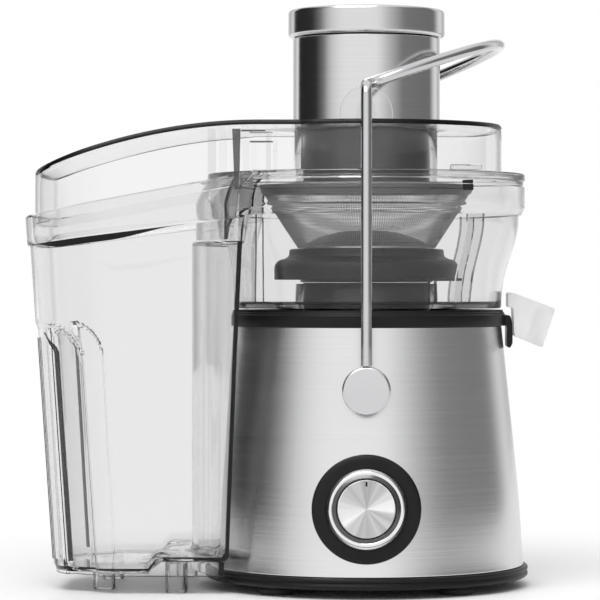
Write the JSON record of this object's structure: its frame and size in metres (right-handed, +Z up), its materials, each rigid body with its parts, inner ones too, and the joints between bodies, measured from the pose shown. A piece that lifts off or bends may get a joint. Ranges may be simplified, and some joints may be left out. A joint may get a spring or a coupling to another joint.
{
  "type": "centrifugal juicer",
  "caption": "Centrifugal juicer: steel motor base with a dial, clear bowl, sieve and lid, feed chute with pusher, locking bail and side pulp container.",
  "frame": {"origin": "under the middle of the machine's bounding box, on the surface it stands on", "axes": "+Z up along the motor axis; +X towards the juice spout; the front with the dial faces -Y"},
  "size_m": [0.2999, 0.2031, 0.329],
  "materials": {
    "black_plastic": "fine satin moulding",
    "grey_plastic": "satin moulding",
    "brushed_steel": "brushed round the piece",
    "bright_chrome": "polished",
    "bearing_steel": "ground",
    "clear_plastic": "clear, polished mould",
    "frosted_plastic": "milky, translucent",
    "rubber": "matt",
    "carbon": "matt",
    "copper": "enamelled wire",
    "laminated_iron": "stacked laminations",
    "circuit_board": "solder mask"
  },
  "bodies": {
    "base": {"base_pan": "black_plastic", "rubber_foot_1": "rubber", "rubber_foot_2": "rubber", "rubber_foot_3": "rubber", "rubber_foot_4": "rubber", "foot_screw_1": "bearing_steel", "foot_screw_2": "bearing_steel", "foot_screw_3": "bearing_steel", "foot_screw_4": "bearing_steel", "steel_shell": "brushed_steel", "top_deck": "black_plastic", "stator_core": "laminated_iron", "upper_field_coil": "copper", "lower_field_coil": "copper", "upper_motor_bracket": "grey_plastic", "lower_motor_bracket": "grey_plastic", "upper_bearing": "bearing_steel", "lower_bearing": "bearing_steel", "carbon_brush_left": "carbon", "carbon_brush_right": "carbon", "motor_mount_1": "rubber", "motor_mount_2": "rubber", "motor_mount_3": "rubber", "motor_mount_4": "rubber", "rotary_switch": "grey_plastic", "control_board": "circuit_board", "interlock_switch": "grey_plastic", "cord_gland": "black_plastic", "bail_bush_front": "black_plastic", "bail_bush_rear": "black_plastic", "knob_bezel": "black_plastic", "juice_bowl": "clear_plastic", "juice_spout": "frosted_plastic"},
    "spinner": {"motor_shaft": "bearing_steel", "rotor_core": "laminated_iron", "rotor_windings": "copper", "commutator": "copper", "fan_hub": "grey_plastic", "drive_coupling": "grey_plastic", "sieve_hub": "black_plastic", "sieve_mesh": "brushed_steel", "sieve_rim": "grey_plastic", "grater_disc": "brushed_steel", "sieve_dome": "grey_plastic"},
    "lid": {"lid": "clear_plastic", "chute_sleeve": "brushed_steel"},
    "pusher": {"pusher_body": "grey_plastic", "pusher_cap": "brushed_steel"},
    "container": {"pulp_container": "clear_plastic"},
    "bail": {"bail_rod": "bright_chrome", "bail_disc_front": "bright_chrome", "bail_disc_rear": "bright_chrome", "bail_pin_front": "bearing_steel", "bail_pin_rear": "bearing_steel", "interlock_cam": "grey_plastic"},
    "plunger": {"interlock_plunger": "bearing_steel"},
    "knob": {"knob_ring": "bright_chrome", "knob_cap": "brushed_steel", "knob_shaft": "bearing_steel"}
  },
  "joints": [
    {"name": "bail_swing", "type": "hinge", "parent": "base", "child": "bail", "pos_m": [0.0423, 0, 0.114], "axis": [0, 1, 0], "range_deg": [0, 95]},
    {"name": "interlock_press", "type": "slide", "parent": "base", "child": "plunger", "axis": [0, 0, 1], "range_m": [0, 0.00292]},
    {"name": "speed_knob_turn", "type": "hinge", "parent": "base", "child": "knob", "pos_m": [0.0423, -0.0874, 0.049], "axis": [0, 0.9962, -0.0872], "range_deg": [-45, 90]},
    {"name": "sieve_spin", "type": "hinge", "parent": "base", "child": "spinner", "pos_m": [0.0423, 0, 0.1], "axis": [0, 0, 1], "continuous": true},
    {"name": "lid_lift", "type": "slide", "parent": "base", "child": "lid", "axis": [-0.2924, 0, 0.9563], "range_m": [0, 0.14]},
    {"name": "pusher_slide", "type": "slide", "parent": "lid", "child": "pusher", "axis": [0, 0, 1], "range_m": [0, 0.095]},
    {"name": "container_slide", "type": "slide", "parent": "base", "child": "container", "axis": [-1, 0, 0], "range_m": [0, 0.12]}
  ],
  "couplings": [
    {"joint": "interlock_press", "follows": "bail_swing", "m_per_rad": 0.00175}
  ]
}
